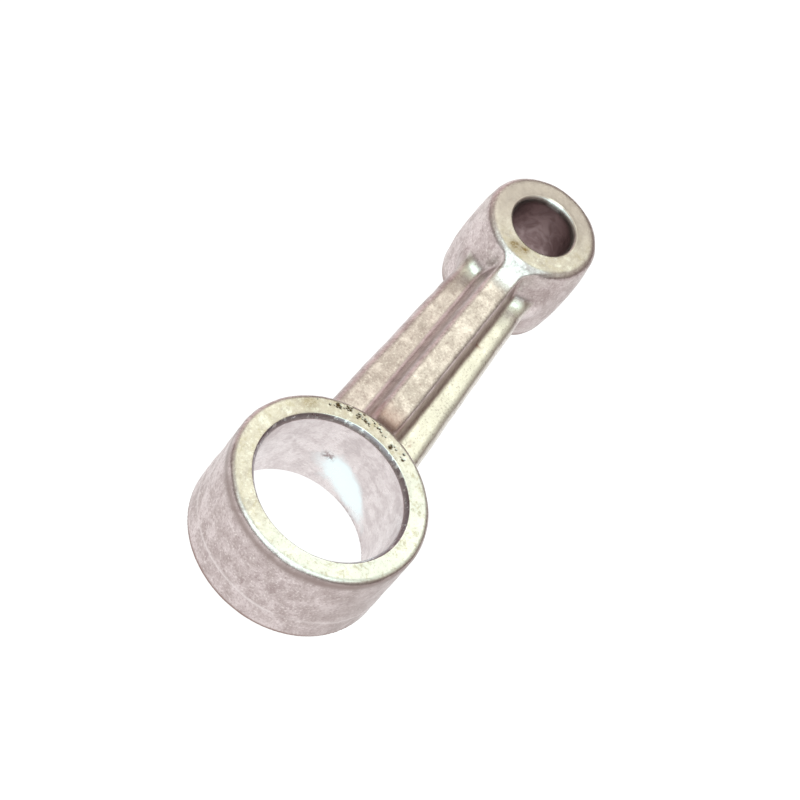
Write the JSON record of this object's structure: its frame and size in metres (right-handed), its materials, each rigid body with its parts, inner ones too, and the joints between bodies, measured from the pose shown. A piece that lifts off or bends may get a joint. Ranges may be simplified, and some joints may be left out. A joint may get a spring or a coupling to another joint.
{
  "type": "connecting rod",
  "caption": "Cast connecting rod with a cruciform shank, a lined big end bore for a crank pin and a bushed small end bore for a wrist pin.",
  "frame": {"origin": "centre of the big end bore, half way along its length", "axes": "+Z along both bores, +X from the big end to the small end"},
  "size_m": [0.1176, 0.04, 0.023],
  "materials": {
    "cast_aluminium": "as cast, with turned end faces",
    "liner_metal": "bored and worn bright",
    "bush_metal": "bored, darkened by oil"
  },
  "bodies": {
    "root": {"rod_casting": "cast_aluminium", "big_end_liner": "liner_metal", "small_end_bush": "bush_metal"}
  },
  "joints": []
}
